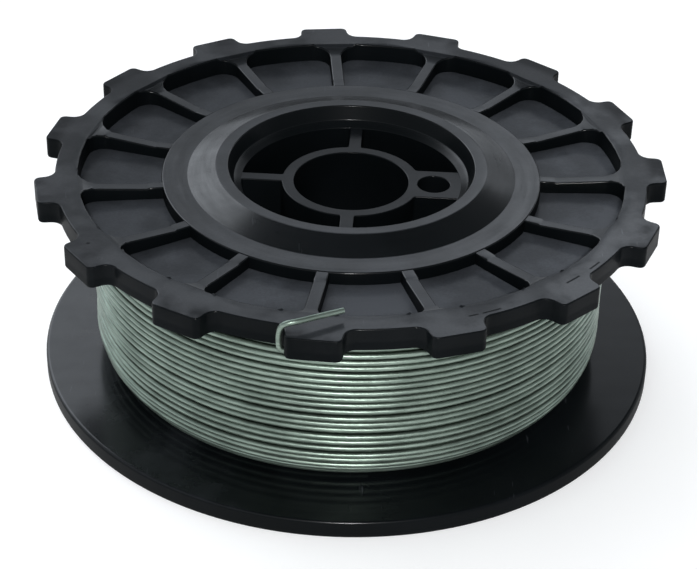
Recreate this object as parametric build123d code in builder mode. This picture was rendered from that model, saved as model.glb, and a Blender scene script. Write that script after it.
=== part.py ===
"""Spool of tie wire: a moulded plastic spool with a toothed flange, and the wire wound on it.

Millimetres, +Z up along the spool's axis. The origin is the centre of the plain flange's
outer face, on which the spool lies. One tooth of the other flange points along +X.
"""
import os
from math import asin, cos, degrees, hypot, radians, sin

from build123d import *

os.makedirs("parts", exist_ok=True)

# The spool's overall sizes
plain_flange_r = 46.0
plain_flange_t = 2.8
winding_width = 26.1
barrel_r = 20.0
barrel_wall = 3.0
edge_round = 0.5

# The toothed flange
rim_t = 3.3
tooth_count = 15
tooth_root_r = 43.0
tooth_height = 2.85
tooth_root_w = 8.3
tooth_tip_w = 7.2
tooth_tip_round = 0.5
tooth_root_round = 0.9
rim_band_w = 2.3
pocket_depth = 2.4
pocket_corner_r = 2.6
rib_w = 1.85
rib_seat_w = 2.1
rib_slope_w = 8.0

# The boss round the hub recess
ring_r = 27.7
ring_drop = 1.25
cone_foot_r = 24.0
lip_r = 19.8
lip_w = 1.75
lip_rise = 0.15
recess_drop = 2.75

# The hub: a ring on three narrow spokes and one wide one
hub_bore_r = 8.4
hub_ring_w = 1.8
hub_foot_gap = 1.0
spoke_w = 2.0
wide_spoke_w = 7.8
spoke_turn = -3.0
window_corner_r = 0.7
drive_hole_r = 2.5
drive_hole_centre_r = 13.5

# The wire
wire_d = 0.8
layer_turns = 25
turn_groove = 0.3
winding_r = 38.0
shoulder_drop = 2.4
shoulder_w = 4.6
seat_gap = 0.1

# The wire's free end, which comes out under one tooth, rises beside it and lies back over it
tail_tooth = 11
tail_lead_turn = 16.0
tail_under_gap = 0.3
tail_side_gap = 0.3
tail_rim_gap = 0.5
tail_bend = 1.4
tail_lie_gap = 1.0
tail_reach_in = 3.0
tail_lie_turn = 11.0

# Heights, radii and angles that follow from them
rim_under_z = plain_flange_t + winding_width
rim_top_z = rim_under_z + rim_t
floor_z = rim_top_z - pocket_depth
ring_top_z = rim_top_z - ring_drop
lip_top_z = rim_top_z + lip_rise
hub_top_z = rim_top_z - recess_drop
barrel_bore_r = barrel_r - barrel_wall
recess_mouth_r = lip_r - lip_w
hub_ring_r = hub_bore_r + hub_ring_w
tooth_tip_r = tooth_root_r + tooth_height
tooth_middle_r = tooth_root_r + tooth_height / 2
pocket_outer_r = tooth_root_r - rim_band_w
tooth_pitch = 360.0 / tooth_count
tooth_foot_w = tooth_root_w + (tooth_root_w - tooth_tip_w) * rim_band_w / tooth_height
wire_r = wire_d / 2


def beyond(radius):
    """Pick what lies farther from the axis than a radius."""
    return lambda shape: hypot(shape.center().X, shape.center().Y) > radius


def polar(radius, angle, height):
    """Give the point at a radius, an angle in degrees and a height."""
    return (radius * cos(radians(angle)), radius * sin(radians(angle)), height)


# One moulding: flanges, barrel, boss and hub
with BuildPart() as spool:
    with BuildSketch(Plane.XY):
        Circle(plain_flange_r)
    extrude(amount=plain_flange_t)
    fillet(spool.edges().filter_by(GeomType.CIRCLE), edge_round)

    # The toothed flange is a disc with its teeth
    with BuildSketch(Plane.XY.offset(rim_under_z)) as toothed_flange:
        Circle(tooth_root_r)
        with PolarLocations(0, tooth_count):
            Polygon(
                (pocket_outer_r, -tooth_foot_w / 2),
                (tooth_tip_r, -tooth_tip_w / 2),
                (tooth_tip_r, tooth_tip_w / 2),
                (pocket_outer_r, tooth_foot_w / 2),
                align=None,
            )
        fillet(toothed_flange.vertices().filter_by(beyond(tooth_middle_r)), tooth_tip_round)
        roots = toothed_flange.vertices().filter_by(beyond(tooth_middle_r), reverse=True)
        fillet(roots, tooth_root_round)
    extrude(amount=rim_t)

    # Pockets between the ribs, one rib for each tooth
    with BuildSketch(Plane.XY.offset(floor_z)) as pockets:
        Circle(pocket_outer_r)
        Circle(barrel_r, mode=Mode.SUBTRACT)
        with PolarLocations(tooth_root_r / 2, tooth_count):
            Rectangle(tooth_root_r, rib_w, mode=Mode.SUBTRACT)
        fillet(pockets.vertices().filter_by(beyond(ring_r)), pocket_corner_r)
    extrude(amount=pocket_depth, mode=Mode.SUBTRACT)

    # The ribs come down from the rim to the level of the ring round the boss
    with BuildSketch(Plane.XZ):
        Polygon(
            (0, ring_top_z),
            (ring_r + rib_seat_w, ring_top_z),
            (ring_r + rib_seat_w + rib_slope_w, rim_top_z),
            (0, rim_top_z),
            align=None,
        )
    revolve(axis=Axis.Z, mode=Mode.SUBTRACT)

    # The barrel and the boss are turned, with a recess that narrows to the hub
    with BuildSketch(Plane.XZ):
        Polygon(
            (0, 0),
            (barrel_r, 0),
            (barrel_r, floor_z),
            (ring_r, floor_z),
            (ring_r, ring_top_z),
            (cone_foot_r, ring_top_z),
            (lip_r, lip_top_z),
            (0, lip_top_z),
            align=None,
        )
    revolve(axis=Axis.Z)
    with BuildSketch(Plane.XZ):
        Polygon(
            (0, 0),
            (barrel_bore_r, 0),
            (barrel_bore_r, hub_top_z),
            (recess_mouth_r, lip_top_z),
            (0, lip_top_z),
            align=None,
        )
    revolve(axis=Axis.Z, mode=Mode.SUBTRACT)

    # The hub is a disc with four windows, a bore and a drive hole
    with BuildSketch(Plane.XY.offset(hub_foot_gap)):
        Circle(barrel_bore_r + barrel_wall / 2)
        with BuildSketch(mode=Mode.PRIVATE) as windows:
            Circle(barrel_bore_r)
            Circle(hub_ring_r, mode=Mode.SUBTRACT)
            with PolarLocations(barrel_bore_r / 2, 3, start_angle=spoke_turn + 90, angular_range=270):
                Rectangle(barrel_bore_r, spoke_w, mode=Mode.SUBTRACT)
            with PolarLocations(barrel_bore_r / 2, 1, start_angle=spoke_turn):
                Rectangle(barrel_bore_r, wide_spoke_w, mode=Mode.SUBTRACT)
            fillet(windows.vertices(), window_corner_r)
        add(windows.sketch, mode=Mode.SUBTRACT)
        Circle(hub_bore_r, mode=Mode.SUBTRACT)
        with PolarLocations(drive_hole_centre_r, 1, start_angle=spoke_turn):
            Circle(drive_hole_r, mode=Mode.SUBTRACT)
    extrude(amount=hub_top_z - hub_foot_gap)
spool.part.label = "spool"
export_step(spool.part, "parts/spool.step")

# The winding is one turned solid, with a ridge for each turn of its outer layer
coil_low_z = plain_flange_t + seat_gap
coil_high_z = rim_under_z - seat_gap
turn_pitch = (coil_high_z - coil_low_z) / layer_turns


def winding_radius(height):
    """Give the winding's radius: full, but rounded off towards the plain flange."""
    above = min(1.0, (height - coil_low_z) / shoulder_w)
    return winding_r - shoulder_drop * (1 - above) ** 2


outline = [(barrel_r + seat_gap, coil_low_z)]
for turn in range(layer_turns):
    valley_z = coil_low_z + turn * turn_pitch
    crest_z = valley_z + turn_pitch / 2
    outline.append((winding_radius(valley_z) - turn_groove, valley_z))
    outline.append((winding_radius(crest_z), crest_z))
outline.append((winding_radius(coil_high_z) - turn_groove, coil_high_z))
outline.append((barrel_r + seat_gap, coil_high_z))

# The free end leaves the winding under a tooth, turns up beside it and is bent back over the rim
tail_under_z = rim_under_z - tail_under_gap - wire_r
tail_over_z = rim_top_z + tail_lie_gap + wire_r
tail_rise_r = tooth_root_r + tail_rim_gap + wire_r
tail_side = tooth_root_w / 2 + tail_side_gap + wire_r
tail_rise_angle = tail_tooth * tooth_pitch - degrees(asin(tail_side / tail_rise_r))
tail_route = [
    polar(winding_r - wire_d, tail_rise_angle + tail_lead_turn, tail_under_z - wire_r),
    polar(tail_rise_r, tail_rise_angle, tail_under_z),
    polar(tail_rise_r, tail_rise_angle, tail_over_z),
    polar(tail_rise_r - tail_reach_in, tail_rise_angle + tail_lie_turn, tail_over_z),
]

with BuildPart() as wire_coil:
    with BuildSketch(Plane.XZ):
        Polygon(*outline, align=None)
    revolve(axis=Axis.Z)
    with BuildLine() as tail:
        FilletPolyline(*tail_route, radius=tail_bend)
    with BuildSketch(Plane(origin=tail.line @ 0, z_dir=tail.line % 0)):
        Circle(wire_r)
    sweep()
wire_coil.part.label = "wire_coil"
export_step(wire_coil.part, "parts/wire_coil.step")
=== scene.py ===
"""The looks of a spool of tie wire: a black moulded spool and the zinc-coated wire wound on it.

Metres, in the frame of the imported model: +Z is the spool's axis, and the spool lies on z = 0.
"""
import math
import random

import bmesh
import bpy
from mathutils import Matrix, Vector


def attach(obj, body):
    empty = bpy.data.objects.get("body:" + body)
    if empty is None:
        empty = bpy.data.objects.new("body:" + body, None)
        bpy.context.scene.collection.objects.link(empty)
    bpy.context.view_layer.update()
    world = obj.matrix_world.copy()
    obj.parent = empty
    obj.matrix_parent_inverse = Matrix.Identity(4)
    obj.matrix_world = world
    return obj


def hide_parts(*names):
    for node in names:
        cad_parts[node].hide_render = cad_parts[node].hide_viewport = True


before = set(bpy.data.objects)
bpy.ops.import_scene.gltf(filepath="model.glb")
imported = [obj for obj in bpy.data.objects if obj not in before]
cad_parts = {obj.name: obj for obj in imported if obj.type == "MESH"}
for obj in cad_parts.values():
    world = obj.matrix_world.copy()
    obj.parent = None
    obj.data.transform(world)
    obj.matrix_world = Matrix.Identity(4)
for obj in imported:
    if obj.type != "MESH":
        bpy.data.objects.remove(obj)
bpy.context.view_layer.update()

MM = 0.001
FULL_TURN = 2 * math.pi
ORIGIN = (0, 0, 0)
UP = (0, 0, 1)

# Where the photograph was taken from: a camera fitted to the spool's circles and tooth corners
CAMERA_PLACE = Vector((-2.5, -246.8, 171.0)) * MM
CAMERA_PITCH = 32.92
CAMERA_HEADING = 0.62
CAMERA_ROLL = 1.52
CAMERA_LENS = 99.56
CAMERA_SENSOR = 36.0

# The spool's sizes, in millimetres. The flanges, barrel, ring, cone, lip and hub ring are as the
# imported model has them. The pockets, ribs, teeth, recess wall and drive hole were measured again
# in the photograph and differ from that model by up to about 1.4 mm.
PLAIN_FLANGE_R = 46.0
PLAIN_FLANGE_TOP = 2.8
BARREL_R = 20.0
BORE_R = 16.1
LEDGE_R = 17.25
LEDGE_TOP = 30.25
RIM_LOW = 28.9
RIM_TOP = 32.2
FLOOR_OUT = 29.45
FLOOR_IN = 29.05
FLOOR_R = 41.0
RING_R = 27.7
RING_TOP = 30.95
CONE_FOOT_R = 24.0
LIP_R = 19.8
LIP_IN_R = 18.05
LIP_TOP = 32.35
HUB_TOP = 29.45
HUB_LOW = 1.0
TEETH = 15
TOOTH_PITCH = FULL_TURN / TEETH
POCKET_R = 39.7
POCKET_CORNER_ARC = 3.1
ROOT_R = 43.0
ROOT_X = 42.815
ROOT_CORNER_ARC = 1.7
TIP_X = 45.85
TIP_HALF = 3.68
FLANK_SLOPE = 0.10
TOOTH_TURN = math.radians(1.9)
RIB_HALF = 0.925
RIB_IN_X = 27.5
RIB_SEAT_X = 29.7
RIB_STEP_X = 29.95
RIB_SEAT_TOP = 30.90
RIB_STEP = 0.14
RIB_OUT_TOP = 31.35
RAMP_LOW_X = 37.4
RAMP_HIGH_X = 40.9
RAMP_STEPS = 16
RAMP_LINES = 5
RAMP_WIDE = 3.5
RAMP_NARROWS = 2.2
HUB_BORE_R = 8.4
HUB_RING_R = 10.2
HUB_CORNER_ARC = 0.9
HUB_BAND = 0.5
SPOKE_HALF = 1.0
WIDE_SPOKE_HALF = 3.9
SPOKE_TURN = math.radians(-3)
DRIVE_HOLE_R = 2.35
DRIVE_HOLE_X = 12.15
BODY_STEPS = 192
SHEET_OVERLAP = 0.02

# Roundings, as (cut or width in millimetres, segments)
FLANGE_ROUND = (0.5, 4)
BODY_ROUND = (0.25, 3)
LIP_ROUND = (0.16, 2)
CREASE_ROUND = (0.10, 1)
POCKET_ROUND = (2.6, 6)
ROOT_ROUND = (1.3, 5)
TIP_ROUND = (0.8, 4)
HUB_ROUND = (0.25, 2)
RIM_EDGE = (0.22, 2)
HUB_EDGE = (0.18, 2)

# Angles past which an edge is rounded or kept sharp, and distances in millimetres: points that
# are merged, points that count as one place, and the room on each side of a line across a rib
BEVEL_ANGLE = math.radians(35)
SMOOTH_ANGLE = math.radians(50)
MERGE = 0.002
NEAR = 0.02
LINE_ROOM = 0.05

# Marks on the rim, in degrees and millimetres: gouges from one angle to another, and a pin mark
GOUGES = ((-68.8, -66.9), (-66.1, -62.4), (-47.2, -43.6), (-40.4, -37.2))
GOUGE_FADE = 0.2
PIN_MARK_R = 42.75
PIN_MARK_ANGLE = -146.7
MARK_DEPTH = 0.85

# The winding, in millimetres
WIRE_R = 0.4
COIL_LOW = 2.9
COIL_HIGH = 28.8
WINDING_R = 38.0
SHOULDER_DROP = 2.4
SHOULDER_W = 4.6
LAYER_TURNS = 25
LAYER_STEP = 0.78
UNDER_LIFT = 0.12
CORE_INSET = 1.25
CORE_STEPS = 120
SEAT_GAP = 0.1
GROOVE = 0.32
RIDGE = ((0.0, GROOVE), (0.25, 0.08), (0.5, 0.0), (0.75, 0.08))
OUTLINE_STEPS = 2000
LAYER_PLACES = 400

# How unevenly the wire lies: millimetres up and out, and random knots in each turn
DRIFT, DRIFT_KNOTS = 0.13, 3.0
SWELL, SWELL_KNOTS = 0.07, 4.0

# Where the outer turns lie loose: middle and reach, in degrees or in millimetres of height
BULGE_SIDE = (186, 34)
BULGE_HEIGHT = (24.5, 7.0)
BULGE_OUT = 0.42
RIPPLE, RIPPLE_RATE = 0.22, 1.1
PARTING_SIDE = (-14, 26)
PARTING_HEIGHT = (16.4, 5.0)
PARTING_UP = 0.24

# Colours, as linear red, green, blue and alpha
PLASTIC_DARK = (0.0018, 0.0026, 0.0030, 1)
PLASTIC_LIGHT = (0.0034, 0.0044, 0.0052, 1)
# Dust, and also painted sheen and painted reflection, on the plastic's up-facing faces
DUST_AND_PAINTED_SHEEN = (0.048, 0.0525, 0.060, 1)
SCUFF = (0.075, 0.080, 0.090, 1)
ZINC_LIGHT = (0.26, 0.325, 0.275, 1)
ZINC_DARK = (0.145, 0.185, 0.155, 1)
# The same zinc, darkened for the hidden layers and the core: painted shade between and under the
# outer turns
SHADED_INNER_LIGHT = (0.06, 0.085, 0.06, 1)
SHADED_INNER_DARK = (0.025, 0.04, 0.03, 1)
FLOOR_COLOR = (0.82, 0.82, 0.82, 1)
FLOOR_LIFT = 0.30
FLOOR_SIZE = 6

# Where the lamps point, in metres
LIT_PLACE = Vector((0, 0, 0.02))


def deselect():
    """Leave edit mode and select nothing."""
    if bpy.context.object and bpy.context.object.mode != "OBJECT":
        bpy.ops.object.mode_set(mode="OBJECT")
    bpy.ops.object.select_all(action="DESELECT")


def take(piece):
    """Make one object the selected and active one."""
    deselect()
    piece.select_set(True)
    bpy.context.view_layer.objects.active = piece


def pick(test):
    """In edit mode, select the points that pass a test on their place in millimetres."""
    bpy.ops.mesh.select_all(action="DESELECT")
    bpy.ops.mesh.select_mode(type="VERT")
    mesh = bmesh.from_edit_mesh(bpy.context.object.data)
    for vert in mesh.verts:
        vert.select_set(bool(test(vert.co / MM)))
    mesh.select_flush_mode()
    bmesh.update_edit_mesh(bpy.context.object.data)


def pick_edges(test):
    """In edit mode, select the edges whose two ends pass a test on their places in millimetres."""
    bpy.ops.mesh.select_all(action="DESELECT")
    bpy.ops.mesh.select_mode(type="EDGE")
    mesh = bmesh.from_edit_mesh(bpy.context.object.data)
    for edge in mesh.edges:
        edge.select_set(bool(test(edge.verts[0].co / MM, edge.verts[1].co / MM)))
    bmesh.update_edit_mesh(bpy.context.object.data)


def polar(radius, angle, height):
    """A point in millimetres at a radius, an angle in radians and a height."""
    return Vector((radius * math.cos(angle), radius * math.sin(angle), height))


class Pen:
    """Draws an outline in edit mode by extruding and spinning one point, in millimetres."""

    def __init__(self, start):
        deselect()
        bpy.ops.mesh.primitive_plane_add(size=MM, location=Vector(start) * MM)
        bpy.ops.object.transform_apply(location=True, rotation=True, scale=True)
        bpy.ops.object.mode_set(mode="EDIT")
        bpy.ops.mesh.select_mode(type="VERT")
        bpy.ops.mesh.merge(type="CENTER")
        self.place = Vector(start)

    def line(self, *places):
        """Extrude the point to each place in turn."""
        for place in places:
            step = (Vector(place) - self.place) * MM
            bpy.ops.mesh.extrude_region_move(TRANSFORM_OT_translate={"value": step})
            self.place = Vector(place)

    def arc(self, end_angle, steps):
        """Spin the point round the axis to an angle in radians."""
        radius = math.hypot(self.place.x, self.place.y)
        turned = end_angle - math.atan2(self.place.y, self.place.x)
        bpy.ops.mesh.spin(steps=steps, angle=-turned, center=ORIGIN, axis=UP)
        self.place = polar(radius, end_angle, self.place.z)

    def arc_about(self, centre, turned, steps):
        """Spin the point round an upright line at a centre, by an angle in radians."""
        middle = Vector(centre)
        bpy.ops.mesh.spin(steps=steps, angle=-turned, center=middle * MM, axis=UP)
        self.place = middle + Matrix.Rotation(turned, 3, "Z") @ (self.place - middle)

    def close(self):
        """Join the last point to the first and fill the outline with one face."""
        bpy.ops.mesh.select_all(action="SELECT")
        bpy.ops.mesh.edge_face_add()
        return bpy.context.object


def round_corners(places, rounding):
    """Round the outline's corners at some places, by a cut in millimetres and its segments."""
    cut, segments = rounding
    corners = [Vector(place) for place in places]
    pick(lambda co: any((co - corner).length < NEAR for corner in corners))
    bpy.ops.mesh.bevel(offset=cut * MM, segments=segments, affect="VERTICES", clamp_overlap=True)


def turn_round(angle):
    """Turn everything round the axis by an angle in radians, anticlockwise from above."""
    bpy.ops.mesh.select_all(action="SELECT")
    bpy.ops.transform.rotate(value=-angle, orient_axis="Z", center_override=ORIGIN)


def copies_round(count, angle):
    """Repeat everything round the axis, in count more copies, each an angle on."""
    bpy.ops.mesh.select_all(action="SELECT")
    bpy.ops.mesh.spin(steps=count, angle=-count * angle, center=ORIGIN, axis=UP, dupli=True)
    bpy.ops.mesh.select_all(action="SELECT")
    bpy.ops.mesh.remove_doubles(threshold=MERGE * MM)


def thicken(depth):
    """Extrude the whole sheet down by a depth in millimetres and point its faces outwards."""
    bpy.ops.mesh.select_all(action="SELECT")
    bpy.ops.mesh.extrude_region_move(TRANSFORM_OT_translate={"value": (0, 0, -depth * MM)})
    bpy.ops.mesh.select_all(action="SELECT")
    bpy.ops.mesh.normals_make_consistent(inside=False)


def apply_modifier(piece, kind, **settings):
    """Add a modifier, set it and apply it."""
    take(piece)
    modifier = piece.modifiers.new(kind.lower(), kind)
    for name, value in settings.items():
        setattr(modifier, name, value)
    bpy.ops.object.modifier_apply(modifier=modifier.name)


def bevel_edges(piece, rounding):
    """Round a piece's sharp edges by a width in millimetres and its segments."""
    width, segments = rounding
    apply_modifier(
        piece, "BEVEL", width=width * MM, segments=segments, limit_method="ANGLE",
        angle_limit=BEVEL_ANGLE, use_clamp_overlap=False,
    )


def lathe(piece, steps):
    """Turn a closed outline round the axis into a closed surface, and leave edit mode."""
    bpy.ops.mesh.select_all(action="SELECT")
    bpy.ops.mesh.delete(type="ONLY_FACE")
    bpy.ops.mesh.select_all(action="SELECT")
    bpy.ops.mesh.spin(steps=steps, angle=FULL_TURN, center=ORIGIN, axis=UP)
    bpy.ops.mesh.select_all(action="SELECT")
    bpy.ops.mesh.remove_doubles(threshold=MERGE * MM)
    bpy.ops.mesh.normals_make_consistent(inside=False)
    deselect()
    return piece


# ---- Spool
def turn_body():
    """Turn the plain flange, barrel, pocket floor, ring, cone and lip from one closed outline."""
    corners = [
        (BORE_R, 0),
        (PLAIN_FLANGE_R, 0),
        (PLAIN_FLANGE_R, PLAIN_FLANGE_TOP),
        (BARREL_R, PLAIN_FLANGE_TOP),
        (BARREL_R, RIM_LOW + SHEET_OVERLAP),
        (FLOOR_R, RIM_LOW + SHEET_OVERLAP),
        (FLOOR_R, FLOOR_OUT),
        (RING_R, FLOOR_IN),
        (RING_R, RING_TOP),
        (CONE_FOOT_R, RING_TOP),
        (LIP_R, LIP_TOP),
        (LIP_IN_R, LIP_TOP),
        (LEDGE_R, LEDGE_TOP),
        (BORE_R, HUB_TOP),
    ]
    places = [(radius, 0, height) for radius, height in corners]
    pen = Pen(places[0])
    pen.line(*places[1:])
    piece = pen.close()
    round_corners([places[1], places[2]], FLANGE_ROUND)
    round_corners([places[0], places[3], places[8]], BODY_ROUND)
    round_corners([places[10], places[11]], LIP_ROUND)
    round_corners([places[9], places[12], places[13]], CREASE_ROUND)
    lathe(piece, BODY_STEPS)
    piece.name = "turned_body"
    return piece


def tooth_half(x):
    """Half the width of a tooth at a distance out along its middle line."""
    return TIP_HALF + FLANK_SLOPE * (TIP_X - x)


def on_rib(co):
    """Give a place's distance out along the nearest rib, and its distance from its middle line."""
    radius = math.hypot(co.x, co.y)
    angle = math.atan2(co.y, co.x) / TOOTH_PITCH
    angle = (angle - round(angle)) * TOOTH_PITCH
    return radius * math.cos(angle), abs(radius * math.sin(angle))


def toothed_rim():
    """Draw one rib with its tooth and its share of the rim, and repeat it fifteen times."""
    seam = TOOTH_PITCH / 2
    root = tooth_half(ROOT_X)
    rib_x = math.sqrt(POCKET_R**2 - RIB_HALF**2)
    rib_arc = math.asin(RIB_HALF / POCKET_R) + POCKET_CORNER_ARC / POCKET_R
    root_arc = math.asin(root / ROOT_R) + ROOT_CORNER_ARC / ROOT_R

    def on_tooth(x, y):
        """A place on the tooth, which is turned from its rib."""
        return polar(math.hypot(x, y), math.atan2(y, x) + TOOTH_TURN, RIM_TOP)

    pen = Pen(polar(POCKET_R, -seam, RIM_TOP))
    pen.arc(-rib_arc, 4)
    pen.line((rib_x, -RIB_HALF, RIM_TOP), (RIB_IN_X, -RIB_HALF, RIM_TOP))
    pen.line((RIB_IN_X, RIB_HALF, RIM_TOP), (rib_x, RIB_HALF, RIM_TOP))
    pen.line(polar(POCKET_R, rib_arc, RIM_TOP))
    pen.arc(seam, 4)
    pen.line(polar(ROOT_R, seam, RIM_TOP))
    pen.arc(root_arc + TOOTH_TURN, 3)
    pen.line(on_tooth(ROOT_X, root), on_tooth(TIP_X, TIP_HALF))
    pen.line(on_tooth(TIP_X, -TIP_HALF), on_tooth(ROOT_X, -root))
    pen.line(polar(ROOT_R, TOOTH_TURN - root_arc, RIM_TOP))
    pen.arc(-seam, 3)
    piece = pen.close()
    both = (-1, 1)
    round_corners([(rib_x, side * RIB_HALF, RIM_TOP) for side in both], POCKET_ROUND)
    round_corners([on_tooth(ROOT_X, side * root) for side in both], ROOT_ROUND)
    round_corners([on_tooth(TIP_X, side * TIP_HALF) for side in both], TIP_ROUND)
    ramp_run = RAMP_HIGH_X - RAMP_LOW_X
    ramp = [RAMP_LOW_X + line * ramp_run / (RAMP_LINES - 1) for line in range(RAMP_LINES)]
    for rib_line in (*ramp, RIB_STEP_X, RIB_SEAT_X):
        bpy.ops.mesh.select_all(action="SELECT")
        bpy.ops.mesh.bisect(plane_co=(rib_line * MM, 0, 0), plane_no=(1, 0, 0))
    copies_round(TEETH - 1, TOOTH_PITCH)
    thicken(RIM_TOP - RIM_LOW)
    middle = (RIM_TOP + RIM_LOW) / 2
    for step in range(RAMP_STEPS):
        part = (step + 0.5) / RAMP_STEPS
        out = RAMP_HIGH_X - part * ramp_run
        wide = RAMP_WIDE - part * RAMP_NARROWS
        pick(lambda co: co.z > middle and on_rib(co)[0] < out and on_rib(co)[1] < wide)
        bpy.ops.transform.translate(value=(0, 0, (RIB_OUT_TOP - RIM_TOP) / RAMP_STEPS * MM))
    pick(lambda co: co.z > middle and on_rib(co)[0] < RIB_STEP_X + LINE_ROOM)
    lowered = RIB_SEAT_TOP - RIB_STEP - RIB_OUT_TOP
    bpy.ops.transform.translate(value=(0, 0, lowered * MM))
    pick(lambda co: co.z > middle and on_rib(co)[0] < RIB_SEAT_X + LINE_ROOM)
    bpy.ops.transform.translate(value=(0, 0, RIB_STEP * MM))

    def on_step(first, second):
        """Whether an edge runs across a rib at its small step."""
        return all(
            co.z > middle and RIB_SEAT_X - LINE_ROOM < on_rib(co)[0] < RIB_STEP_X + LINE_ROOM
            for co in (first, second)
        ) and abs(on_rib(first)[0] - on_rib(second)[0]) < NEAR

    pick_edges(on_step)
    bpy.ops.mesh.mark_sharp()
    turn_round(-TOOTH_TURN)
    deselect()
    bevel_edges(piece, RIM_EDGE)
    piece.name = "toothed_rim"
    return piece


def draw_half_spoke(half_width, side, holed):
    """Draw an eighth of the hub: half a spoke with its share of the ring and the outer band."""
    quarter = side * FULL_TURN / 8
    outer_x = math.sqrt(BORE_R**2 - half_width**2)
    inner_x = math.sqrt(HUB_RING_R**2 - half_width**2)
    outer_arc = side * (math.asin(half_width / BORE_R) + HUB_CORNER_ARC / BORE_R)
    inner_arc = side * (math.asin(half_width / HUB_RING_R) + HUB_CORNER_ARC / HUB_RING_R)
    edge = side * half_width
    pen = Pen((BORE_R + HUB_BAND, 0, HUB_TOP))
    pen.arc(quarter, 12)
    pen.line(polar(BORE_R, quarter, HUB_TOP))
    pen.arc(outer_arc, 10)
    pen.line((outer_x, edge, HUB_TOP), (inner_x, edge, HUB_TOP))
    pen.line(polar(HUB_RING_R, inner_arc, HUB_TOP))
    pen.arc(quarter, 8)
    pen.line(polar(HUB_BORE_R, quarter, HUB_TOP))
    pen.arc(0, 12)
    if holed:
        pen.line((DRIVE_HOLE_X - DRIVE_HOLE_R, 0, HUB_TOP))
        pen.arc_about((DRIVE_HOLE_X, 0, HUB_TOP), -side * math.pi, 20)
    piece = pen.close()
    round_corners([(outer_x, edge, HUB_TOP), (inner_x, edge, HUB_TOP)], HUB_ROUND)
    deselect()
    return piece


def join_sheets(sheets):
    """Join flat sheets into one and merge their seams, and stay in edit mode."""
    take(sheets[0])
    for sheet in sheets[1:]:
        sheet.select_set(True)
    bpy.ops.object.join()
    bpy.ops.object.mode_set(mode="EDIT")
    bpy.ops.mesh.select_all(action="SELECT")
    bpy.ops.mesh.remove_doubles(threshold=MERGE * MM)
    return bpy.context.object


def hub():
    """Make the hub ring on three narrow spokes and a wide one with a round hole."""
    narrow = join_sheets([draw_half_spoke(SPOKE_HALF, side, False) for side in (1, -1)])
    turn_round(FULL_TURN / 4)
    copies_round(2, FULL_TURN / 4)
    deselect()
    wide = [draw_half_spoke(WIDE_SPOKE_HALF, side, True) for side in (1, -1)]
    piece = join_sheets([narrow, *wide])
    turn_round(SPOKE_TURN)
    thicken(HUB_TOP - HUB_LOW)
    deselect()
    bevel_edges(piece, HUB_EDGE)
    piece.name = "hub"
    return piece


def make_spool():
    """Join the three closed shells of the moulding and smooth it between its sharp edges."""
    shells = [turn_body(), toothed_rim(), hub()]
    take(shells[0])
    for shell in shells[1:]:
        shell.select_set(True)
    bpy.ops.object.join()
    piece = bpy.context.object
    piece.name = "spool_moulding"
    bpy.ops.object.shade_smooth_by_angle(angle=SMOOTH_ANGLE)
    apply_modifier(piece, "WEIGHTED_NORMAL", keep_sharp=True, weight=80)
    return piece


spool = make_spool()
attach(spool, "root")
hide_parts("spool")


# ---- Wire
def winding_radius(height):
    """The winding's outer radius at a height: full, but rounded off towards the plain flange."""
    above = min(1.0, (height - COIL_LOW) / SHOULDER_W)
    return WINDING_R - SHOULDER_DROP * (1 - above) ** 2


def layer_places(inset, low, high):
    """Radii and heights of wire centres up a layer, evenly spaced along its outline."""
    heights = [low + (high - low) * i / OUTLINE_STEPS for i in range(OUTLINE_STEPS + 1)]
    outline = [Vector((winding_radius(z - WIRE_R) - WIRE_R - inset, z)) for z in heights]
    run = [0.0]
    for before, after in zip(outline, outline[1:]):
        run.append(run[-1] + (after - before).length)
    places = []
    at = 0
    for i in range(LAYER_PLACES + 1):
        wanted = run[-1] * i / LAYER_PLACES
        while at < len(run) - 2 and run[at + 1] < wanted:
            at += 1
        share = (wanted - run[at]) / (run[at + 1] - run[at])
        places.append(outline[at].lerp(outline[at + 1], share))
    return places


def smooth_noise(random_source, turns, knots_per_turn):
    """A smooth random function of the number of turns, between -1 and 1."""
    knots = [random_source.uniform(-1, 1) for _ in range(int(turns * knots_per_turn) + 3)]

    def value(turn):
        spot = turn * knots_per_turn
        knot = int(spot)
        share = spot - knot
        share = share * share * (3 - 2 * share)
        return knots[knot] * (1 - share) + knots[knot + 1] * share

    return value


def hump(value, middle, width):
    """A smooth rise from 0 to 1 and back, of a width on each side of its middle."""
    away = abs(value - middle) / width
    return 0.0 if away >= 1 else 0.5 + 0.5 * math.cos(math.pi * away)


def angle_from(angle, middle):
    """The difference of two angles in degrees, between -180 and 180."""
    return (angle - middle + 180) % 360 - 180


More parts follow.
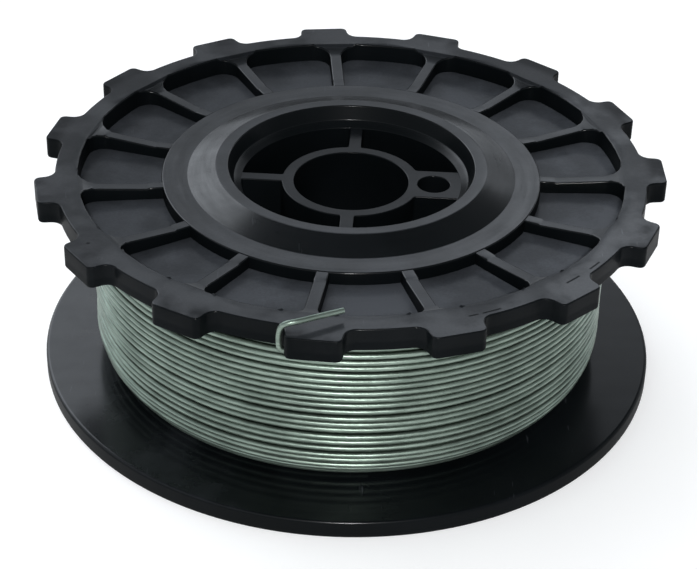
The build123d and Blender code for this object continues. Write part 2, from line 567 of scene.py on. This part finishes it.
def wind_layer(name, inset, turns, start_angle, handed, steps, sides, uneven, place_turn):
    """Wind one layer from its top end down with a screw, then lay each part of it in its place."""
    low, high = COIL_LOW + WIRE_R, COIL_HIGH - WIRE_R
    places = layer_places(inset, low, high)
    top_radius = places[-1].x
    deselect()
    bpy.ops.mesh.primitive_circle_add(
        vertices=sides, radius=WIRE_R * MM, location=Vector((top_radius, 0, high)) * MM,
        rotation=(math.pi / 2, 0, 0),
    )
    piece = bpy.context.object
    bpy.ops.object.transform_apply(location=True, rotation=True, scale=True)
    bpy.ops.object.mode_set(mode="EDIT")
    turn_round(start_angle)
    deselect()
    pitch = (high - low) / turns
    apply_modifier(
        piece, "SCREW", axis="Z", angle=handed * FULL_TURN, screw_offset=-pitch * MM,
        iterations=turns, steps=steps, render_steps=steps, use_merge_vertices=False,
    )
    bpy.ops.object.mode_set(mode="EDIT")
    bpy.ops.mesh.select_all(action="SELECT")
    bpy.ops.mesh.normals_make_consistent(inside=False)
    deselect()
    source = random.Random(uneven)
    drift = smooth_noise(source, turns, DRIFT_KNOTS)
    swell = smooth_noise(source, turns, SWELL_KNOTS)
    for index, vert in enumerate(piece.data.vertices):
        turn = (index // sides) / steps
        angle = start_angle + handed * FULL_TURN * turn
        outward = Vector((math.cos(angle), math.sin(angle), 0))
        spot = (1 - turn / turns) * (len(places) - 1)
        below = min(int(spot), len(places) - 2)
        place = places[below].lerp(places[below + 1], spot - below)
        ends = min(1.0, turn, turns - turn)
        up, out = place_turn(turn, math.degrees(angle), place.y)
        up += DRIFT * drift(turn)
        out += SWELL * swell(turn)
        height = place.y + up * ends
        height = min(high, max(low, height))
        radius = place.x + out * ends
        vert.co += (
            outward * (radius - top_radius) + Vector((0, 0, height - (high - pitch * turn)))
        ) * MM
    bpy.ops.object.mode_set(mode="EDIT")
    bpy.ops.mesh.select_all(action="DESELECT")
    bpy.ops.mesh.select_mode(type="EDGE")
    bpy.ops.mesh.select_non_manifold()
    bpy.ops.mesh.fill_holes(sides=sides)
    deselect()
    take(piece)
    bpy.ops.object.shade_smooth_by_angle(angle=SMOOTH_ANGLE)
    piece.name = name
    return piece


def loose_turns(turn, angle, height):
    """Where the outer turns bulge, part and close up, as (up, out) in millimetres."""
    left = hump(angle_from(angle, BULGE_SIDE[0]), 0, BULGE_SIDE[1])
    right = hump(angle_from(angle, PARTING_SIDE[0]), 0, PARTING_SIDE[1])
    upper = hump(height, *BULGE_HEIGHT)
    way = 1 if height > PARTING_HEIGHT[0] else -1
    up = PARTING_UP * right * way * hump(height, *PARTING_HEIGHT)
    up += RIPPLE * left * math.sin(height * RIPPLE_RATE)
    return up, BULGE_OUT * left * upper


def even_turns(turn, angle, height):
    """A layer under the outer one lies as it was wound."""
    return 0.0, 0.0


def free_end():
    """The wire's free end: it leaves the top turn, rises beside a tooth and lies back over it."""
    route = [
        (37.60, -84.5, 28.38), (37.75, -88.0, 28.36), (39.30, -93.0, 28.34), (41.40, -97.3, 28.32),
        (43.10, -100.6, 28.32), (44.05, -101.9, 28.75), (44.20, -102.0, 30.20),
        (44.28, -101.95, 31.80), (44.42, -101.5, 32.95), (44.45, -100.4, 33.48),
        (44.00, -98.9, 33.57), (42.90, -96.8, 33.54), (41.60, -94.1, 33.48), (40.45, -91.3, 33.40),
    ]
    curve = bpy.data.curves.new("free_end", "CURVE")
    curve.dimensions = "3D"
    curve.bevel_depth = WIRE_R * MM
    curve.bevel_resolution = 3
    curve.resolution_u = 8
    curve.use_fill_caps = True
    spline = curve.splines.new("NURBS")
    spline.points.add(len(route) - 1)
    for point, (radius, angle, height) in zip(spline.points, route):
        point.co = (*(polar(radius, math.radians(angle), height) * MM), 1)
    spline.order_u = 4
    spline.use_endpoint_u = True
    piece = bpy.data.objects.new("free_end", curve)
    bpy.context.scene.collection.objects.link(piece)
    take(piece)
    bpy.ops.object.convert(target="MESH")
    bpy.ops.object.shade_smooth_by_angle(angle=SMOOTH_ANGLE)
    return bpy.context.object


def wire_core():
    """Turn the hidden layers as one body, with a ridge for each turn of its outer one."""
    pitch = (COIL_HIGH - COIL_LOW) / LAYER_TURNS
    places = [(BARREL_R + SEAT_GAP, 0, COIL_LOW)]
    for turn in range(LAYER_TURNS):
        low = COIL_LOW + turn * pitch
        for share, groove in RIDGE:
            height = low + share * pitch
            places.append((winding_radius(height) - CORE_INSET - groove, 0, height))
    places.append((WINDING_R - CORE_INSET - GROOVE, 0, COIL_HIGH))
    places.append((BARREL_R + SEAT_GAP, 0, COIL_HIGH))
    pen = Pen(places[0])
    pen.line(*places[1:])
    piece = lathe(pen.close(), CORE_STEPS)
    take(piece)
    bpy.ops.object.shade_smooth_by_angle(angle=SMOOTH_ANGLE)
    piece.name = "wire_core"
    return piece


turns = wind_layer(
    "wire_turns", inset=0.0, turns=LAYER_TURNS, start_angle=math.radians(-85), handed=1,
    steps=96, sides=10, uneven=11, place_turn=loose_turns,
)
end = free_end()
take(turns)
end.select_set(True)
bpy.ops.object.join()
under = wind_layer(
    "wire_under", inset=LAYER_STEP - UNDER_LIFT, turns=LAYER_TURNS,
    start_angle=math.radians(40), handed=-1, steps=72, sides=8, uneven=23,
    place_turn=even_turns,
)
core = wire_core()
for piece in (turns, under, core):
    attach(piece, "root")
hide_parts("wire_coil")


# ---- Finishes
class Field:
    """A shader socket that turns Python expressions into Math nodes."""

    def __init__(self, finish, socket):
        self.finish = finish
        self.socket = socket

    def math(self, operation, first, second=0.0):
        settings = {"operation": operation}
        return self.finish.node("ShaderNodeMath", settings, {0: first, 1: second})

    def __add__(self, other):
        return self.math("ADD", self, other)

    def __sub__(self, other):
        return self.math("SUBTRACT", self, other)

    def __mul__(self, other):
        return self.math("MULTIPLY", self, other)

    def __truediv__(self, other):
        return self.math("DIVIDE", self, other)

    def __pow__(self, other):
        return self.math("POWER", self, other)

    def __radd__(self, other):
        return self.math("ADD", other, self)

    def __rsub__(self, other):
        return self.math("SUBTRACT", other, self)


class Finish:
    """A node tree that is filled one node at a time."""

    def __init__(self, tree):
        self.tree = tree
        self.tree.nodes.clear()

    def node(self, kind, settings=None, inputs=None, output=0):
        """Add a node, set it, then give its sockets values or links."""
        node = self.tree.nodes.new(kind)
        for name, value in (settings or {}).items():
            setattr(node, name, value)
        for name, value in (inputs or {}).items():
            if isinstance(value, Field):
                self.tree.links.new(value.socket, node.inputs[name])
            else:
                node.inputs[name].default_value = value
        return Field(self, node.outputs[output]) if len(node.outputs) else None

    def noise(self, vector, scale, detail=2.0, roughness=0.5):
        """A noise texture of a scale per metre."""
        inputs = {"Vector": vector, "Scale": scale, "Detail": detail, "Roughness": roughness}
        return self.node("ShaderNodeTexNoise", None, inputs)

    def spread(self, value, low, high, to_low=0.0, to_high=1.0):
        """Map a range of a value to another, smoothly and held at both ends."""
        settings = {"interpolation_type": "SMOOTHSTEP"}
        inputs = {0: value, 1: low, 2: high, 3: to_low, 4: to_high}
        return self.node("ShaderNodeMapRange", settings, inputs)

    def mix(self, share, first, second):
        """Mix two colours."""
        settings = {"data_type": "RGBA"}
        return self.node("ShaderNodeMix", settings, {0: share, 6: first, 7: second}, 2)

    def vector(self, x, y, z):
        """Combine three numbers."""
        return self.node("ShaderNodeCombineXYZ", None, {0: x, 1: y, 2: z})

    def bump(self, height, distance):
        """Turn a height into a normal."""
        inputs = {"Strength": 1.0, "Distance": distance, "Height": height}
        return self.node("ShaderNodeBump", None, inputs)


def new_material(name):
    """A material with an empty node tree."""
    material = bpy.data.materials.new(name)
    material.use_nodes = True
    return material, Finish(material.node_tree)


def round_coordinates(finish):
    """Object coordinates: the place, its three parts, its radius and its direction's two parts."""
    place = finish.node("ShaderNodeTexCoord", None, None, 3)
    parts = [finish.node("ShaderNodeSeparateXYZ", None, {0: place}, axis) for axis in range(3)]
    radius = (parts[0] * parts[0] + parts[1] * parts[1]) ** 0.5
    return place, parts, radius, (parts[0] / radius, parts[1] / radius)


def rim_marks(finish, x, y, radius):
    """1 in the short gouges along the rim and in the pin mark on it, else 0."""
    angle = x.math("ARCTAN2", y, x)
    band = finish.spread(radius, 0.04202, 0.04212) * finish.spread(radius, 0.04240, 0.04230)
    fade = math.radians(GOUGE_FADE)
    gouges = 0.0
    for first, last in GOUGES:
        first, last = math.radians(first), math.radians(last)
        start = finish.spread(angle, first - fade, first + fade)
        stop = finish.spread(angle, last + fade, last - fade)
        gouges = gouges + start * stop
    centre = polar(PIN_MARK_R * MM, math.radians(PIN_MARK_ANGLE), 0)
    away = ((x - centre[0]) ** 2.0 + (y - centre[1]) ** 2.0) ** 0.5
    pin_mark = finish.spread(away, 0.00030, 0.00020)
    return gouges * band * MARK_DEPTH + pin_mark * MARK_DEPTH


def moulded_black():
    """Black moulded plastic with a thin sheen: flow marks, turned streaks, smudges and scuffs, and
    dust with painted light on its up-facing faces.
    """
    material, finish = new_material("moulded_black")
    place, (x, y, z), radius, (across, along) = round_coordinates(finish)

    # Which way the face looks
    facing = finish.node("ShaderNodeNewGeometry", None, None, "Normal")
    facing_up = finish.node("ShaderNodeSeparateXYZ", None, {0: facing}, 2)
    upward = finish.spread(facing_up, 0.35, 0.90)

    # Patterns, with scales per metre
    cloud = finish.noise(place, 52.0, 3.0)
    blotch = finish.noise(place, 150.0, 4.0, 0.62)
    grain = finish.noise(place, 2600.0, 2.0)
    streak = finish.noise(
        finish.vector(across * 2.6, along * 2.6, radius * 1100.0), 1.0, 3.0, 0.65
    )
    flow = finish.noise(finish.vector(x * 110.0, y * 480.0, z * 110.0), 1.0, 3.0, 0.6)
    marks = finish.noise(finish.vector(x * 1500.0, y * 160.0, z * 160.0), 1.0, 2.0, 0.7)
    scuff = finish.spread(marks, 0.66, 0.74) * finish.spread(cloud, 0.48, 0.62)
    mottle = finish.spread(cloud * 0.5 + blotch * 0.5, 0.40, 0.60)

    # Places, by radius and height in metres: the turned ring and cone, the whole toothed flange,
    # its pocket floors, the hub, the rim and the tooth tips. Painted light makes the dust and sheen
    # stronger to the front right
    turned = finish.spread(radius, 0.0190, 0.0200) * finish.spread(radius, 0.0280, 0.0272)
    turned = turned * finish.spread(z, 0.0300, 0.0306)
    upper = finish.spread(z, 0.02880, 0.02895)
    sunk = upper * finish.spread(z, 0.0305, 0.0300) * finish.spread(radius, 0.0270, 0.0275)
    hub = finish.spread(radius, 0.0172, 0.0166)
    # Painted light: a gradient that makes the dust and sheen stronger towards the front right
    painted_front_right_light = finish.spread(x * 0.87 - y * 0.5, -0.035, 0.035, 0.72, 1.12)
    gouge = rim_marks(finish, x, y, radius) * upper
    rim = finish.spread(radius, 0.0392, 0.0404) * upper
    flat = finish.spread(facing_up, 0.955, 0.985) * upper
    tips = finish.spread(radius, 0.0428, 0.0446) * upper * (1.0 - mottle)

    # The sheen: weak on upright faces, the right of the plain flange, pocket floors and the hub
    film = 0.60 + (streak - 0.5) * turned * 0.60 + (flow - 0.5) * 0.25
    film = film * (1.0 - rim * (1.0 - mottle) * 0.55) * (1.0 - tips * 0.5)
    film = film * (0.14 + upward * 0.86) * (1.0 - flat * 0.42)
    film = film * (1.0 - (1.0 - upper) * finish.spread(x, -0.01, 0.035) * 0.72)
    film = film * (1.0 - sunk * 0.72) * (1.0 - hub * 0.45) * (1.0 - gouge)
    film = film * (1.0 - flat + flat * painted_front_right_light)

    # Dust on the flats of the toothed flange, and also painted sheen that lightens these up-facing
    # faces; less of it on the hub. A painted reflection lightens the left of the plain one
    dust_and_sheen = flat * (0.55 + mottle * 0.45) * (1.0 - tips * 0.6) * (0.42 + sunk * 0.55)
    dust_and_sheen = dust_and_sheen * (1.0 + (streak - 0.5) * turned * 0.7 + (grain - 0.5) * 0.5)
    dust_and_sheen = dust_and_sheen * painted_front_right_light * (1.0 - hub * 0.6) * (1.0 - gouge)
    # A mottled painted reflection lightens the up-facing left of the plain flange
    painted_left_reflection = (1.0 - upper) * mottle * upward
    painted_left_reflection = painted_left_reflection * finish.spread(x, 0.005, -0.03) * 0.17

    color = finish.mix(finish.spread(cloud, 0.3, 0.7), PLASTIC_DARK, PLASTIC_LIGHT)
    # Dust, painted sheen and painted reflection lighten the plastic's colour
    color = finish.mix(dust_and_sheen + painted_left_reflection, color, DUST_AND_PAINTED_SHEEN)
    color = finish.mix(scuff * upward * 0.35, color, SCUFF)
    roughness = 0.42 + cloud * 0.10 + scuff * 0.10
    height = grain * 0.30 + flow * 0.5 + streak * turned * 1.2
    normal = finish.bump(height, 0.00003)
    shader = finish.node(
        "ShaderNodeBsdfPrincipled", None,
        {"Base Color": color, "Roughness": roughness, "Normal": normal,
         "Specular IOR Level": 0.03, "Coat Weight": film, "Coat Roughness": 0.18},
    )
    finish.node("ShaderNodeOutputMaterial", None, {0: shader})
    return material


def zinc_wire(name, light, dark):
    """Zinc-coated wire: greenish grey metal, drawn along its length."""
    material, finish = new_material(name)
    place, parts, _, (across, along) = round_coordinates(finish)
    drawn = finish.noise(
        finish.vector(across * 9.0, along * 9.0, parts[2] * 2600.0), 1.0, 3.0, 0.6
    )
    patch = finish.noise(place, 160.0, 3.0)
    speck = finish.noise(place, 1900.0, 2.0)
    share = finish.spread(drawn * 0.6 + patch * 0.4, 0.32, 0.68)
    color = finish.mix(share, dark, light)
    roughness = 0.26 + patch * 0.14 + speck * 0.10
    normal = finish.bump(drawn * 0.6 + speck * 0.4, 0.00002)
    shader = finish.node(
        "ShaderNodeBsdfPrincipled", None,
        {"Base Color": color, "Roughness": roughness, "Normal": normal, "Metallic": 0.85},
    )
    finish.node("ShaderNodeOutputMaterial", None, {0: shader})
    return material


def give(piece, material):
    """Leave one material on a piece."""
    piece.data.materials.clear()
    piece.data.materials.append(material)


give(spool, moulded_black())
outer_wire = zinc_wire("zinc_wire", ZINC_LIGHT, ZINC_DARK)
shaded_inner_wire = zinc_wire("zinc_wire_shaded_inside", SHADED_INNER_LIGHT, SHADED_INNER_DARK)
give(turns, outer_wire)
# The under layer and the core take the darker copy of the zinc, which is painted shade
give(under, shaded_inner_wire)
give(core, shaded_inner_wire)


# ---- Floor and light
def background_ray(finish):
    """1 for what the camera sees directly, in a mirror or through glass, else 0."""
    path = {name: finish.node("ShaderNodeLightPath", None, None, name) for name in (
        "Is Camera Ray", "Is Glossy Ray", "Is Transmission Ray")}
    seen = path["Is Camera Ray"] + path["Is Glossy Ray"] + path["Is Transmission Ray"]
    return seen.math("MINIMUM", seen, 1.0)


bpy.ops.mesh.primitive_plane_add(size=FLOOR_SIZE, location=ORIGIN)
floor = bpy.context.object
floor.name = "floor"
floor_material, floor_finish = new_material("pale_floor")
matt = floor_finish.node("ShaderNodeBsdfDiffuse", None, {"Color": FLOOR_COLOR})
lift = floor_finish.node(
    "ShaderNodeEmission", None,
    {"Color": (1, 1, 1, 1), "Strength": background_ray(floor_finish) * FLOOR_LIFT},
)
both = floor_finish.node("ShaderNodeAddShader", None, {0: matt, 1: lift})
floor_finish.node("ShaderNodeOutputMaterial", None, {0: both})
give(floor, floor_material)

world = bpy.data.worlds.new("studio")
bpy.context.scene.world = world
world.use_nodes = True
sky = Finish(world.node_tree)
direction = sky.node("ShaderNodeTexCoord", None, None, 0)
east = sky.node("ShaderNodeSeparateXYZ", None, {0: direction}, 0)
north = sky.node("ShaderNodeSeparateXYZ", None, {0: direction}, 1)
climb = sky.node("ShaderNodeSeparateXYZ", None, {0: direction}, 2)

# Behind the spool stands a tilted bright panel, with a stronger part to its left and its right
reach = climb + east * 0.35
ahead = sky.spread(north, 0.30, 0.62)
panel = sky.spread(climb, 0.36, 0.55, 0.75, 1.9) * sky.spread(reach, 0.59, 0.68, 1.0, 0.05)
left_panel = sky.spread(east, -0.17, -0.29) * sky.spread(climb, 0.13, 0.30)
left_panel = left_panel * sky.spread(reach, 0.59, 0.68, 1.0, 0.0)
right_panel = sky.spread(east, 0.04, 0.13) * sky.spread(east, 0.30, 0.20)
right_panel = right_panel * sky.spread(climb, 0.40, 0.50)
right_panel = right_panel * sky.spread(reach, 0.64, 0.70, 1.0, 0.0)
studio = panel + left_panel * 1.35 + right_panel * 1.4

# The rest is a pale room, darker overhead and to the right, with a white horizon all round
room = sky.spread(climb, 0.55, 0.85, 1.0, 0.12) * sky.spread(east, -0.6, 0.6, 0.72, 0.38)
horizon = sky.spread(climb, 0.16, 0.05)
strength = (studio * ahead + room * (1.0 - ahead)) * (1.0 - horizon) + horizon
level = sky.vector(strength * 0.94, strength, strength * 1.08)
backdrop = sky.node("ShaderNodeBackground", None, {0: level, 1: 1.0})
sky.node("ShaderNodeOutputWorld", None, {0: backdrop})


def soft_light(name, place, size, power, glossy):
    """A square soft light that looks at the spool."""
    light = bpy.data.lights.new(name, "AREA")
    light.shape = "SQUARE"
    light.size = size
    light.energy = power
    lamp = bpy.data.objects.new(name, light)
    bpy.context.scene.collection.objects.link(lamp)
    lamp.location = place
    toward = LIT_PLACE - Vector(place)
    lamp.rotation_euler = toward.to_track_quat("-Z", "Y").to_euler()
    lamp.visible_glossy = glossy


soft_light("overhead", (-0.25, 0.3, 1.1), size=0.8, power=3.2, glossy=False)
soft_light("front", (0.02, -0.9, 0.62), size=0.085, power=8.5, glossy=True)

# ---- Camera
cam_data = bpy.data.cameras.new("camera")
camera = bpy.data.objects.new("camera", cam_data)
bpy.context.scene.collection.objects.link(camera)
cam_data.lens = CAMERA_LENS
cam_data.sensor_width = CAMERA_SENSOR
cam_data.clip_start = 0.01
camera.location = CAMERA_PLACE
turn = (
    Matrix.Rotation(math.radians(-CAMERA_HEADING), 4, "Z")
    @ Matrix.Rotation(math.radians(90 - CAMERA_PITCH), 4, "X")
    @ Matrix.Rotation(math.radians(CAMERA_ROLL), 4, "Z")
)
camera.rotation_euler = turn.to_euler()
bpy.context.scene.camera = camera

bpy.context.scene.view_settings.view_transform = "Standard"
